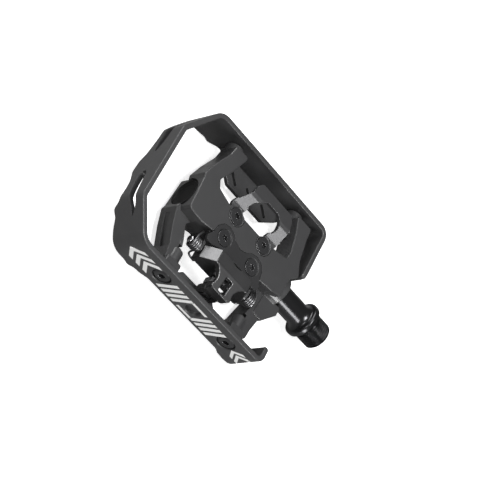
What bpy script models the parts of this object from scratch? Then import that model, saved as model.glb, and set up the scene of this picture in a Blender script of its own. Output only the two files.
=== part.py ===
"""A clipless bicycle pedal: a cleat mechanism on one face and a toothed platform cage round it.

Frame: metres, origin at the middle of the body's upper face, straight above the spindle's axis, +X along the
spindle towards the crank, +Z up out of the face with the cleat mechanism, +Y towards the toe side of that
face. The constants are millimetres from the spindle's axis, and the last step lowers the whole assembly so
that its upper face lies at height zero.
"""

import math

import bmesh
import bpy
from mathutils import Matrix, Vector

MM = 0.001

# Spindle and its running gear, along X
SHAFT_R = 5.9
THREAD_R = 7.14  # 9/16 inch
THREAD_FROM, THREAD_TO = 55.7, 67.0
FLANGE_R, FLANGE_FROM, FLANGE_TO = 9.0, 52.9, 55.7
SEAT_R = 2.95
BEARING_FROM, BEARING_TO, BEARING_R = -25.6, -20.6, 6.44
POCKET_R, POCKET_TO = 6.5, -20.3
MID_BORE_R = 5.3
BUSHING_R, BUSHING_FROM, BUSHING_TO = 6.9, 16.2, 31.0

# Body
HALF_THICK = 8.8
LEVEL = 2.0  # how far an arm's layer reaches past the middle plane
BOLT_X, BOLT_Z = 22.7, 0.0
BOSS_R = 4.8
COLLAR_R, COLLAR_TO = 8.4, 34.4
PLATE_LOW = 7.0  # underside of the two steel plates let into the upper face
POCKET_LOW = 6.7
GAP = 0.3
CAP_R, CAP_SEAT = 7.4, -31.3

# Cage
CAGE_T = 2.5
CAGE_TOP = 8.85
CAGE_OUT_Y = 39.15
FLANGE_LOW, FLANGE_HIGH = -8.5, -6.3

# Cleat mechanism on the upper face
TOE_SCREW = (9.85, 5.6)
HEEL_SCREW = (9.85, -7.2)
PIN_Y, PIN_Z, PIN_R = -17.2, 3.9, 1.2
COIL_R, WIRE_R = 2.85, 0.5
TENSION_Z = 1.8


# ---------------------------------------------------------------- helpers


def clear_scene():
    for item in list(bpy.data.objects):
        bpy.data.objects.remove(item)


def material(name, colour, roughness, metallic):
    made = bpy.data.materials.new(name)
    made.use_nodes = True
    shader = made.node_tree.nodes["Principled BSDF"]
    shader.inputs["Base Color"].default_value = (*colour, 1.0)
    shader.inputs["Roughness"].default_value = roughness
    shader.inputs["Metallic"].default_value = metallic
    made.diffuse_color = (*colour, 1.0)
    return made


def to_object(name, mesh_maker):
    """Turns a bmesh in millimetres into an object in metres with its faces pointing out."""
    bmesh.ops.recalc_face_normals(mesh_maker, faces=mesh_maker.faces)
    bmesh.ops.scale(mesh_maker, vec=(MM, MM, MM), verts=mesh_maker.verts)
    mesh = bpy.data.meshes.new(name)
    mesh_maker.to_mesh(mesh)
    mesh_maker.free()
    made = bpy.data.objects.new(name, mesh)
    bpy.context.scene.collection.objects.link(made)
    return made


# Each maps (a, b, along) of a profile to x, y, z
AXES = {
    "X": lambda a, b, h: (h, a, b),
    "Y": lambda a, b, h: (a, h, b),
    "Z": lambda a, b, h: (a, b, h),
}


def prism(outline, low, high, axis="Z", chamfer=0.0):
    """A straight solid of a closed outline; chamfer bevels the edge round its high end."""
    place = AXES[axis]
    work = bmesh.new()
    ring = [work.verts.new(place(a, b, low)) for a, b in outline]
    base = work.faces.new(ring)
    moved = bmesh.ops.extrude_face_region(work, geom=[base])["geom"]
    top = [v for v in moved if isinstance(v, bmesh.types.BMVert)]
    shift = Vector(place(0, 0, high)) - Vector(place(0, 0, low))
    bmesh.ops.translate(work, vec=shift, verts=top)
    if chamfer:
        bmesh.ops.recalc_face_normals(work, faces=work.faces)
        up = set(top)
        rim = [e for e in work.edges if e.verts[0] in up and e.verts[1] in up]
        bmesh.ops.bevel(work, geom=rim, offset=chamfer, segments=1, affect="EDGES")
    return to_object("helper", work)


def lathe(profile, axis="X", centre=(0, 0, 0), segments=32, phase=0.0):
    """A solid of revolution; profile holds (radius, along), and its flat ends reach the axis."""
    place = AXES[axis]
    work = bmesh.new()
    rings = []
    for radius, along in profile:
        if radius <= 1e-6:
            continue
        ring = []
        for step in range(segments):
            turn = phase + 2 * math.pi * step / segments
            spot = place(radius * math.cos(turn), radius * math.sin(turn), along)
            ring.append(work.verts.new(Vector(spot) + Vector(centre)))
        rings.append(ring)
    for first, second in zip(rings, rings[1:]):
        for step in range(segments):
            after = (step + 1) % segments
            work.faces.new([first[step], first[after], second[after], second[step]])
    work.faces.new(rings[0])
    work.faces.new(rings[-1])
    return to_object("helper", work)


def rod(radius, low, high, axis="X", centre=(0, 0, 0), segments=32, phase=0.07):
    return lathe([(0, low), (radius, low), (radius, high), (0, high)], axis, centre, segments, phase)


def ring_solid(inner, outer, low, high, axis="X", centre=(0, 0, 0), segments=32):
    """A washer or race: a rectangle turned about the axis."""
    place = AXES[axis]
    work = bmesh.new()
    corners = [(inner, low), (outer, low), (outer, high), (inner, high)]
    rings = []
    for step in range(segments):
        turn = 2 * math.pi * step / segments
        rings.append(
            [
                work.verts.new(Vector(place(r * math.cos(turn), r * math.sin(turn), h)) + Vector(centre))
                for r, h in corners
            ]
        )
    for step in range(segments):
        here, there = rings[step], rings[(step + 1) % segments]
        for k in range(4):
            work.faces.new([here[k], here[(k + 1) % 4], there[(k + 1) % 4], there[k]])
    return to_object("helper", work)


def star(outer, inner, points):
    """A star outline, as of a six-lobed driver socket."""
    shape = []
    for step in range(2 * points):
        radius = outer if step % 2 == 0 else inner
        turn = math.pi * step / points
        shape.append((radius * math.cos(turn), radius * math.sin(turn)))
    return shape


def polygon(radius, sides, phase=0.0):
    turns = [phase + 2 * math.pi * k / sides for k in range(sides)]
    return [(radius * math.cos(turn), radius * math.sin(turn)) for turn in turns]


def wire(path, radius, sides=8):
    """A round wire along a path of points, closed at both ends."""
    spots = [Vector(p) for p in path]
    work = bmesh.new()
    rings = []
    normal = None
    for k, spot in enumerate(spots):
        before = spots[max(k - 1, 0)]
        after = spots[min(k + 1, len(spots) - 1)]
        along = (after - before).normalized()
        if normal is None:
            guide = Vector((0, 0, 1)) if abs(along.z) < 0.9 else Vector((1, 0, 0))
            normal = along.cross(guide).normalized()
        normal = (normal - along * normal.dot(along)).normalized()
        across = along.cross(normal)
        ring = []
        for s in range(sides):
            turn = 2 * math.pi * s / sides
            ring.append(work.verts.new(spot + radius * (normal * math.cos(turn) + across * math.sin(turn))))
        rings.append(ring)
    for first, second in zip(rings, rings[1:]):
        for s in range(sides):
            work.faces.new([first[s], first[(s + 1) % sides], second[(s + 1) % sides], second[s]])
    work.faces.new(rings[0])
    work.faces.new(rings[-1])
    return to_object("helper", work)


def boolean(base, operation, others):
    """Joins, cuts or intersects base with each helper in turn, then bakes the result."""
    for other in others:
        other.hide_render = True
        other.display_type = "WIRE"
        step = base.modifiers.new(operation.title(), "BOOLEAN")
        step.operation = operation
        step.solver = "EXACT"
        step.object = other
    return bake(base, others)


def bake(base, helpers=()):
    bpy.context.view_layer.update()
    graph = bpy.context.evaluated_depsgraph_get()
    mesh = bpy.data.meshes.new_from_object(base.evaluated_get(graph))
    base.modifiers.clear()
    base.data = mesh
    for helper in helpers:
        bpy.data.objects.remove(helper)
    return base


def join(base, *others):
    return boolean(base, "UNION", others)


def cut(base, *others):
    return boolean(base, "DIFFERENCE", others)


def common(base, other):
    return boolean(base, "INTERSECT", [other])


def turned(base):
    """A copy of a helper after half a turn about X."""
    mesh = base.data.copy()
    mesh.transform(Matrix.Rotation(math.pi, 4, "X"))
    made = bpy.data.objects.new("helper", mesh)
    bpy.context.scene.collection.objects.link(made)
    return made


def mirrored(base):
    """A copy of a helper on the other side of the YZ plane."""
    mesh = base.data.copy()
    mesh.transform(Matrix.Scale(-1, 4, Vector((1, 0, 0))))
    mesh.flip_normals()
    made = bpy.data.objects.new("helper", mesh)
    bpy.context.scene.collection.objects.link(made)
    return made


def empty(name, spot, parent=None):
    made = bpy.data.objects.new(name, None)
    made.empty_display_size = 0.01
    bpy.context.scene.collection.objects.link(made)
    made.parent = parent
    made.location = Vector(spot) * MM
    if parent:
        made.location -= parent.matrix_world.translation
    bpy.context.view_layer.update()
    return made


def finish(base, name, look, origin=(0, 0, 0), parent=None):
    """Names a piece, gives it its material, and puts its origin where it turns or sits."""
    spot = Vector(origin) * MM
    base.data.transform(Matrix.Translation(-spot))
    base.name = name
    base.data.name = name
    base.data.materials.clear()
    base.data.materials.append(look)
    base.data.shade_smooth()
    base.data.set_sharp_from_angle(angle=math.radians(32))
    base.location = spot
    if parent:
        base.parent = parent
        base.location = spot - parent.matrix_world.translation
    bpy.context.view_layer.update()
    return base


# ---------------------------------------------------------------- spindle group


def make_spindle():
    profile = [
        (0, -30.4),
        (2.4, -30.4),
        (SEAT_R, -29.8),
        (SEAT_R, -20.5),
        (4.2, -20.5),
        (4.7, 12.0),
        (SHAFT_R, 16.0),
        (SHAFT_R, 49.6),
        (6.3, 51.3),
        (7.4, 52.5),
        (FLANGE_R - 0.6, FLANGE_FROM),
        (FLANGE_R, 53.6),
        (FLANGE_R, 55.1),
        (FLANGE_R - 0.5, FLANGE_TO),
        (THREAD_R + 0.16, FLANGE_TO),
        (6.9, FLANGE_TO - 0.4),
        (6.3, FLANGE_TO - 0.4),
        (6.3, 56.6),
        (THREAD_R, 57.5),
        (THREAD_R, THREAD_TO - 0.9),
        (6.3, THREAD_TO),
        (0, THREAD_TO),
    ]
    solid = lathe(profile)
    socket = prism(polygon(4.62, 6), THREAD_TO - 8.5, THREAD_TO + 2, axis="X")
    return cut(solid, socket)


def make_lock_nut():
    solid = prism(polygon(4.9, 6), -30.2, -27.0, axis="X")
    return cut(solid, rod(SEAT_R + 0.1, -32, -26, segments=24))


def make_balls():
    """Eight balls in a snap ring, which holds them together as one piece."""
    pitch = 4.72
    middle = (BEARING_FROM + BEARING_TO) / 2
    solid = ring_solid(pitch - 0.35, pitch + 0.42, middle - 0.9, middle + 0.9, segments=16)
    balls = []
    for k in range(8):
        turn = 2 * math.pi * k / 8
        work = bmesh.new()
        bmesh.ops.create_icosphere(work, subdivisions=2, radius=1.25)
        spot = (middle, pitch * math.cos(turn), pitch * math.sin(turn))
        bmesh.ops.translate(work, vec=spot, verts=work.verts)
        balls.append(to_object("helper", work))
    return join(solid, *balls)


def make_race(inner, outer, groove_at):
    solid = ring_solid(inner, outer, BEARING_FROM, BEARING_TO)
    middle = (BEARING_FROM + BEARING_TO) / 2
    steps = 5
    work_profile = []
    for k in range(steps + 1):
        turn = math.pi * k / steps
        work_profile.append((middle - 1.36 * math.cos(turn), 1.36 * math.sin(turn)))
    pitch = 4.72
    inward = -1 if groove_at == "inner" else 1
    near = pitch
    ring = [(near, middle - 1.36)]
    ring += [(pitch + inward * depth, along) for along, depth in work_profile[1:-1]]
    ring += [(near, middle + 1.36)]
    work = bmesh.new()
    loops = []
    segments = 32
    for step in range(segments):
        turn = 2 * math.pi * step / segments
        loops.append([work.verts.new((h, r * math.cos(turn), r * math.sin(turn))) for r, h in ring])
    count = len(ring)
    for step in range(segments):
        here, there = loops[step], loops[(step + 1) % segments]
        for k in range(count):
            after = (k + 1) % count
            work.faces.new([here[k], here[after], there[after], there[k]])
    return cut(solid, to_object("helper", work))


def make_end_cap():
    """A cap pressed into the outer end, with a plug behind its rim and a hexagon to turn it by."""
    profile = [(0, -33.8), (6.7, -33.8), (CAP_R, -33.2), (CAP_R, CAP_SEAT - GAP), (6.3, CAP_SEAT - GAP)]
    profile += [(6.3, -30.8), (5.2, -30.8), (5.2, -31.9), (0, -31.9)]
    return cut(lathe(profile), prism(polygon(2.9, 6), -34.5, -32.5, axis="X"))


# ---------------------------------------------------------------- body

# Layer of the upper face, seen from above: the plate, and the two arms on its toe side
PLATE = [
    (-33.2, -8.4),
    (-32.4, -9.6),
    (-24.8, -10.2),
    (-17.2, -9.0),
    (15.7, -9.0),
    (25.4, -8.0),
    (31.3, -6.3),
    (31.3, 3.7),
    (35.2, 8.2),
    (31.8, 14.7),
    (29.6, 26.1),
    (29.2, 32.0),
    (18.9, 32.0),
    (22.4, 24.0),
    (24.8, 14.3),
    (24.2, 10.4),
    (15.6, 8.8),
    (13.0, 7.7),
    (-13.2, 7.7),
    (-16.4, 7.3),
    (-24.2, 9.2),
    (-26.4, 12.6),
    (-23.2, 19.0),
    (-18.8, 32.0),
    (-27.4, 32.0),
    (-28.4, 26.1),
    (-32.4, 16.9),
    (-34.9, 9.2),
    (-34.2, 6.8),
]


def make_layer():
    return prism(PLATE, -LEVEL, HALF_THICK, chamfer=0.7)


def boss(x, side):
    low, high = (25.0, CAGE_OUT_Y - CAGE_T - GAP) if side > 0 else (-(CAGE_OUT_Y - CAGE_T - GAP), -25.0)
    return rod(BOSS_R, low, high, axis="Y", centre=(x, 0, side * BOLT_Z), segments=32)


def lug(side):
    """An ear on the heel side that carries one short pivot pin."""
    arc = [
        (PIN_Y + 2.6 * math.cos(math.radians(turn)), PIN_Z + 2.6 * math.sin(math.radians(turn)))
        for turn in range(90, 271, 30)
    ]
    outline = arc + [(-6.0, PIN_Z - 4.4), (-6.0, PIN_Z + 2.6)]
    low, high = sorted((side * 15.75, side * 16.95))
    return prism(outline, low, high, axis="X")


def heel_plate_outline(grow=0.0):
    half = [(0, -5.6), (3.6, -4.2), (6.2, -2.1), (9.85, -1.0), (13.4, -2.0), (15.7, -4.8), (16.6, -9.0)]
    half += [(18.4, -12.2), (17.6, -14.4), (14.4, -14.6), (8.6, -12.4)]
    shape = [(-x, y) for x, y in reversed(half[1:])] + half
    if not grow:
        return shape
    middle = Vector((0, -8.0))
    wide = []
    for x, y in shape:
        away = Vector((x, y)) - middle
        wide.append(tuple(middle + away * (1 + grow / max(away.length, 1.0))))
    return wide


def toe_ear(side, radius):
    """The round ear of the toe claw about its screw, running out to the leg."""
    x, y = TOE_SCREW
    arc = [
        (x + radius * math.cos(math.radians(turn)), y + radius * math.sin(math.radians(turn)))
        for turn in range(-180, 1, 30)
    ]
    shape = arc + [(15.6, 9.4), (15.6, 11.4), (8.0, 11.4), (8.0, 9.4), (x - radius, y + 1.6)]
    return [(side * a, b) for a, b in (shape if side > 0 else reversed(shape))]


def make_body():
    top = make_layer()
    solid = join(top, turned(top))
    arms = [boss(x, side) for x in (-BOLT_X, BOLT_X) for side in (-1, 1)]
    collar = rod(COLLAR_R, 18.0, COLLAR_TO)
    root = prism([(27.0, -4.5), (38.4, -6.6), (38.2, -11.0), (32.0, -19.0), (26.0, -19.0)], -7.4, LEVEL + 0.6)
    solid = join(solid, *arms, collar, root, lug(-1), lug(1))
    cuts = [
        rod(CAP_R + 0.1, -36, CAP_SEAT),
        rod(POCKET_R, -36, POCKET_TO),
        rod(MID_BORE_R, -22, 16),
        rod(BUSHING_R + 0.08, 13.2, 40),
    ]
    for x in (-BOLT_X, BOLT_X):
        for side in (-1, 1):
            ends = sorted((side * 22.0, side * 40.0))
            cuts.append(rod(2.5, *ends, axis="Y", centre=(x, 0, side * BOLT_Z), segments=24, phase=0.11))
    for side in (-1, 1):
        near, far = sorted((side * 17.2, side * 21.9))
        middle = (0, PIN_Y, PIN_Z)
        room = rod(COIL_R + WIRE_R + 0.7, near, far, axis="X", centre=middle, segments=24)
        hole = rod(PIN_R + 0.05, *sorted((side * 14, side * 19)), axis="X", centre=middle, segments=16)
        cuts += [room, hole, prism(toe_ear(side, 5.0), POCKET_LOW, HALF_THICK + 1)]
    cuts.append(prism(heel_plate_outline(0.25), POCKET_LOW, HALF_THICK + 1))
    for x, y in (TOE_SCREW, HEEL_SCREW):
        for side in (-1, 1):
            cuts.append(rod(1.75, 4.3, 9.0, axis="Z", centre=(side * x, y, 0), segments=20))
    return cut(solid, *cuts)


# ---------------------------------------------------------------- cage


def rounded_path(corners, steps=4):
    """Stations (x, y, direction) along straight runs and round each corner's arc."""
    stations = []
    count = len(corners)
    for k, (x, y, radius) in enumerate(corners):
        spot = Vector((x, y))
        if k in (0, count - 1):
            mate = Vector(corners[1 if k == 0 else count - 2][:2])
            along = (mate - spot if k == 0 else spot - mate).normalized()
            stations.append((spot, along))
            continue
        before = (spot - Vector(corners[k - 1][:2])).normalized()
        after = (Vector(corners[k + 1][:2]) - spot).normalized()
        bend = before.angle(after)
        reach = radius * math.tan(bend / 2)
        start = spot - before * reach
        inward = Vector((before.y, -before.x))
        centre = start + inward * radius
        for step in range(steps + 1):
            turn = -bend * step / steps
            spin = Matrix.Rotation(turn, 2)
            stations.append((centre + spin @ (start - centre), spin @ before))
    return stations


CAGE_PATH = [
    (38.9, -30.4, 0),
    (38.9, -39.15, 4.2),
    (-44.0, -39.15, 9.0),
    (-56.0, -22.4, 5.0),
    (-56.0, 17.4, 5.0),
    (-42.4, 39.15, 8.0),
    (38.9, 39.15, 5.5),
    (38.9, 10.0, 0),
]

# Height of the band's lower edge, by distance along its outer face from the tab to the long end
LOWER_EDGE = [
    (0.0, -7.6),
    (8.0, -9.9),
    (13.0, -10.8),
    (18.4, -10.4),
    (20.4, -8.8),
    (69.0, -8.7),
    (72.6, -10.3),
    (76.6, -10.8),
    (79.0, -12.8),
    (82.0, -11.6),
    (92.0, -11.7),
    (97.0, -11.2),
    (101.5, -9.8),
    (105.6, -10.8),
    (108.4, -7.2),
    (115.4, -6.6),
    (119.6, -7.0),
    (125.5, -9.5),
    (131.5, -9.1),
    (136.0, -6.9),
    (144.0, -5.4),
    (149.0, -4.8),
    (152.5, -6.6),
    (157.0, -9.3),
    (161.0, -11.6),
    (172.0, -11.6),
    (178.0, -12.6),
    (181.0, -12.1),
    (184.0, -11.4),
    (186.0, -12.6),
    (188.5, -11.0),
    (190.5, -9.5),
    (196.0, -8.7),
    (236.0, -8.7),
    (240.0, -10.3),
    (246.0, -10.6),
    (254.0, -9.8),
    (276.0, -8.8),
    (290.0, -7.6),
]


# The two drop-shaped openings in the outboard side, in (y, z)
OPENINGS = [
    [
        (-29.6, 1.7),
        (-27.0, 1.0),
        (-23.7, 0.0),
        (-18.7, -1.6),
        (-14.0, -2.3),
        (-9.9, -2.5),
        (-8.2, -1.7),
        (-7.8, -0.3),
        (-8.2, 1.0),
        (-9.8, 2.0),
        (-15.0, 2.5),
        (-19.7, 3.3),
        (-24.3, 3.9),
        (-27.4, 3.1),
    ],
    [
        (3.9, -1.2),
        (6.0, -2.2),
        (9.7, -2.8),
        (14.0, -2.7),
        (20.5, -2.5),
        (24.4, -1.6),
        (25.4, -0.2),
        (23.8, 1.1),
        (20.5, 1.8),
        (16.5, 2.0),
        (12.0, 1.6),
        (8.4, 0.7),
        (5.0, -0.5),
    ],
]


def lower_edge(distance):
    for (s0, z0), (s1, z1) in zip(LOWER_EDGE, LOWER_EDGE[1:]):
        if distance <= s1:
            return z0 + (z1 - z0) * (distance - s0) / (s1 - s0)
    return LOWER_EDGE[-1][1]


def band_stations():
    """The rounded path with a station wherever the lower edge bends."""
    path = rounded_path(CAGE_PATH)
    walked = [0.0]
    for (first, _), (second, _) in zip(path, path[1:]):
        walked.append(walked[-1] + (second - first).length)
    stations = []
    for k, (spot, along) in enumerate(path):
        stations.append((walked[k], spot, along))
        if k + 1 == len(path):
            break
        nearby = path[k + 1][0]
        straight = (path[k + 1][1] - along).length < 1e-6
        for s, _ in LOWER_EDGE:
            if straight and walked[k] + 0.4 < s < walked[k + 1] - 0.4:
                share = (s - walked[k]) / (walked[k + 1] - walked[k])
                stations.append((s, spot.lerp(nearby, share), along))
    return stations


def lower_flange(side):
    """A shelf that stands inwards from the lower edge of one rail, with three slanting slots through it."""
    root = CAGE_OUT_Y - CAGE_T + 1.0
    if side > 0:
        half = [(12.8, 24.9), (20.0, 31.0), (24.5, 36.6), (24.5, root)]
    else:
        half = [(10.4, 24.9), (14.0, 28.2), (19.4, 33.2), (22.4, 36.6), (22.4, root)]
    shape = half + [(-x, y) for x, y in reversed(half)]
    shelf = prism([(x, side * y) for x, y in shape], FLANGE_LOW, FLANGE_HIGH)
    along, across = Vector((0.77, -0.64)), Vector((0.64, 0.77))
    slots = []
    for x in (-11.5, -0.5, 10.5):
        middle = Vector((x if side > 0 else 0.8 * x, 29.5 if side > 0 else 30.0))
        corners = ((-3.3, -0.8), (3.3, -0.8), (3.3, 0.8), (-3.3, 0.8))
        ends = [middle + along * a + across * b for a, b in corners]
        slots.append(prism([(p.x, side * p.y) for p in ends], FLANGE_LOW - 1, FLANGE_HIGH + 1))
    return cut(shelf, *slots)


def make_cage():
    work = bmesh.new()
    rings = []
    for s, spot, along in band_stations():
        inward = Vector((along.y, -along.x))
        inner = spot + inward * CAGE_T
        low = lower_edge(s)
        corners = [(spot, CAGE_TOP), (spot, low), (inner, low), (inner, CAGE_TOP)]
        rings.append([work.verts.new((p.x, p.y, z)) for p, z in corners])
    for here, there in zip(rings, rings[1:]):
        for k in range(4):
            work.faces.new([here[k], here[(k + 1) % 4], there[(k + 1) % 4], there[k]])
    work.faces.new(rings[0])
    work.faces.new(rings[-1])
    band = join(to_object("helper", work), lower_flange(-1), lower_flange(1))
    cuts = []
    for side in (-1, 1):
        for x in (-BOLT_X, BOLT_X):
            z = side * BOLT_Z
            ends = sorted((side * 34.0, side * 42.0))
            cuts.append(rod(2.65, *ends, axis="Y", centre=(x, 0, z), segments=24))
            ends = sorted((side * (CAGE_OUT_Y - 1.6), side * 42.0))
            cuts.append(rod(4.6, *ends, axis="Y", centre=(x, 0, z), segments=32))
    # The hole in the heel-side rail through which a key reaches the tension screw
    cuts.append(rod(3.7, -42.0, -34.0, axis="Y", centre=(0, 0, -1.0), segments=32))
    # Two drop-shaped openings that reach from the outboard face round its corners
    for drop in OPENINGS:
        cuts.append(prism(drop, -60.0, -46.4, axis="X"))
    return cut(band, *cuts)


def make_cage_bolt():
    """A button-head bolt along -Y, with its head in the recess of the toe-side rail."""
    head = CAGE_OUT_Y - 1.5
    profile = [(0, 23.4), (2.0, 23.4), (2.35, 23.9), (2.35, head), (4.2, head), (4.2, head + 0.5)]
    profile += [(3.4, head + 1.25), (0, head + 1.25)]
    solid = lathe(profile, axis="Y", segments=20)
    return cut(solid, prism(polygon(1.75, 6), head - 1.0, head + 3, axis="Y"))


# ---------------------------------------------------------------- cleat mechanism

TOE_BEND = [
    (-2.0, PLATE_LOW, HALF_THICK),
    (10.0, PLATE_LOW, HALF_THICK),
    (15.0, 14.2, 16.2),
    (16.2, 14.5, 16.4),
    (22.8, 14.5, 16.4),
]


def make_toe_claw():
    """A bent plate: two screwed ears, two legs that climb, and the bar that traps the cleat's tip."""
    lower = [(y, low) for y, low, _ in TOE_BEND]
    upper = [(y, high) for y, _, high in reversed(TOE_BEND)]
    bent = prism(lower + upper, -17.0, 17.0, axis="X")
    outer = [(15.4, 10.6), (13.2, 15.8), (12.2, 20.4), (10.4, 22.6)]
    inner = [(8.8, 9.6), (8.8, 10.6), (9.0, 13.2), (6.6, 15.4), (3.7, 17.7)]
    plan = [(15.4, 9.6)] + outer + [(-x, y) for x, y in reversed(outer)] + [(-15.4, 9.6)]
    plan += [(-x, y) for x, y in inner] + [(0, 17.8)] + list(reversed(inner))
    mask = prism(plan, 0.0, 20.0)
    for side in (-1, 1):
        mask = join(mask, prism(toe_ear(side, 4.7), 0.0, 20.0))
    solid = common(bent, mask)
    drills = []
    for side in (-1, 1):
        x, y = side * TOE_SCREW[0], TOE_SCREW[1]
        drills.append(screw_room(x, y))
    return cut(solid, *drills)


def screw_room(x, y):
    """The countersunk hole a plate screw sits in, with clearance all round."""
    profile = [(0, 5.0), (2.05, 5.0), (2.05, 6.9), (4.15, 8.45), (4.15, 10.0), (0, 10.0)]
    return lathe(profile, axis="Z", centre=(x, y, 0), segments=20)


def make_heel_plate():
    solid = prism(heel_plate_outline(), PLATE_LOW, HALF_THICK)
    return cut(solid, *[screw_room(side * HEEL_SCREW[0], HEEL_SCREW[1]) for side in (-1, 1)])


def make_plate_screw():
    profile = [(0, 4.6), (1.3, 4.6), (1.6, 5.0), (1.6, 6.9), (3.9, 8.45), (3.9, 8.75), (0, 8.75)]
    solid = lathe(profile, axis="Z", segments=20)
    return cut(solid, prism(star(1.55, 1.1, 6), 7.2, 10.0))


def claw_shell():
    """The jaw and its two sloping flanks, open below and in front."""
    outer = [(-15.4, 0.9), (-15.4, 6.2), (-10.6, 13.7), (10.6, 13.7), (15.4, 6.2), (15.4, 0.9)]
    inner = [(13.3, 0.9), (13.3, 5.6), (9.5, 11.8), (-9.5, 11.8), (-13.3, 5.6), (-13.3, 0.9)]
    return prism(outer + inner, -22.3, -15.2, axis="Y")


def claw_fairing():
    """The sloping top of the tail, which narrows from the jaw to the tension screw."""
    plan = [(-10.4, -21.6), (-8.4, -22.9), (-6.6, -24.6), (-5.7, -26.6), (-5.7, -28.2), (-6.2, -29.8)]
    plan += [(-6.4, -30.8), (-5.6, -31.6)]
    plan += [(-x, y) for x, y in reversed(plan)]
    work = bmesh.new()
    upper, lower = [], []
    for x, y in plan:
        top = 13.7 - 0.19 * max(0.0, -21.6 - y)
        upper.append(work.verts.new((x, y, top)))
        lower.append(work.verts.new((x * 0.97, y, top - 2.4)))
    work.faces.new(upper)
    work.faces.new(list(reversed(lower)))
    for k in range(len(plan)):
        after = (k + 1) % len(plan)
        work.faces.new([upper[k], lower[k], lower[after], upper[after]])
    return to_object("helper", work)


def claw_tail():
    """The block at the end of the tail: a flared upper lip, and below it the screw's narrower housing."""
    upper = ((-27.9, 5.4, 11.9, 5.6), (-29.8, 6.2, 11.7, 5.9), (-31.6, 5.5, 11.2, 6.2))
    lower = ((-27.9, 4.9, 7.4, -1.8), (-29.4, 5.1, 7.4, -2.2), (-31.5, 4.7, 7.4, -2.0))
    return join(tail_block(upper), tail_block(lower))


def tail_block(sections):
    """A block lofted along -Y through rounded sections of (y, half width, top, bottom)."""
    work = bmesh.new()
    rings = []
    for y, half, top, low in sections:
        middle, tall = (top + low) / 2, (top - low) / 2
        ring = []
        for step in range(24):
            turn = 2 * math.pi * step / 24
            c, s = math.cos(turn), math.sin(turn)
            x = half * math.copysign(abs(c) ** 0.6, c)
            z = middle + tall * math.copysign(abs(s) ** 0.6, s)
            ring.append(work.verts.new((x, y, z)))
        rings.append(ring)
    for here, there in zip(rings, rings[1:]):
        for s in range(24):
            work.faces.new([here[s], here[(s + 1) % 24], there[(s + 1) % 24], there[s]])
    work.faces.new(rings[0])
    work.faces.new(rings[-1])
    return to_object("helper", work)


def make_heel_claw():
    back = [(-15.3, 1.0), (15.3, 1.0), (15.3, 6.1), (10.7, 13.3), (-10.7, 13.3), (-15.3, 6.1)]
    bridge = prism(back, -22.2, -20.8, axis="Y")
    solid = join(claw_shell(), bridge, claw_fairing(), claw_tail())
    cuts = [
        rod(7.8, 9.6, 16.0, axis="Z", centre=(0, -8.5, 0), segments=48),
        prism([(-2.1, -30.6), (2.1, -30.6), (2.1, -23.4), (-2.1, -23.4)], 5.6, 16.0),
        rod(1.95, -33, -20, axis="Y", centre=(0, 0, TENSION_Z), segments=24),
        rod(2.9, -33, -30.1, axis="Y", centre=(0, 0, TENSION_Z), segments=24),
    ]
    for side in (-1, 1):
        ends = sorted((side * 12, side * 17))
        cuts.append(rod(PIN_R + 0.12, *ends, axis="X", centre=(0, PIN_Y, PIN_Z), segments=24))
    return cut(solid, *cuts)


def make_pivot_pin():
    """A short pin through the lug and the claw's cheek, with the spring's coil on its outer half."""
    profile = [(0, 12.4), (0.9, 12.4), (PIN_R, 12.8), (PIN_R, 21.8), (1.9, 21.8), (1.9, 22.3), (1.2, 22.7)]
    profile += [(0, 22.7)]
    return lathe(profile, centre=(0, PIN_Y, PIN_Z), segments=20)


def spring_path(side):
    """Fixed leg forward to the body, then the turns, and the moving leg down and in under the claw."""
    path = [(19.2, -11.0, 5.6), (20.9, -14.4, PIN_Z + COIL_R - 0.1)]
    turns, steps = 3.25, 39
    first, last = 21.1, 17.6
    for k in range(steps + 1):
        turn = math.radians(90) + 2 * math.pi * turns * k / steps
        x = first + (last - first) * k / steps
        path.append((x, PIN_Y + COIL_R * math.cos(turn), PIN_Z + COIL_R * math.sin(turn)))
    path += [(17.5, -20.3, 1.4), (17.2, -20.8, -0.4), (16.4, -21.3, -1.2), (15.4, -21.4, -1.3)]
    path += [(13.6, -21.4, -1.3)]
    return [(side * x, y, z) for x, y, z in path]


def make_torsion_spring(side):
    return wire(spring_path(side), WIRE_R, sides=6)


def make_tension_screw():
    profile = [(0, -31.5), (2.2, -31.5), (2.6, -31.1), (2.6, -30.4), (1.85, -30.4), (1.85, -20.6)]
    profile += [(1.4, -20.2), (0, -20.2)]
    solid = lathe(profile, axis="Y", centre=(0, 0, TENSION_Z), segments=20)
    socket = prism([(x, z + TENSION_Z) for x, z in polygon(1.5, 6)], -33.0, -30.9, axis="Y")
    return cut(solid, socket)


def make_tension_nut():
    outline = [(-2.6, -0.8), (2.6, -0.8), (3.0, 0.2), (3.0, 4.2), (1.7, 5.2), (1.7, 9.6)]
    outline += [(-1.7, 9.6), (-1.7, 5.2), (-3.0, 4.2), (-3.0, 0.2)]
    solid = prism(outline, -25.3, -22.6, axis="Y")
    return cut(solid, rod(1.98, -28, -22, axis="Y", centre=(0, 0, TENSION_Z), segments=24))


# ---------------------------------------------------------------- assembly


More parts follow.
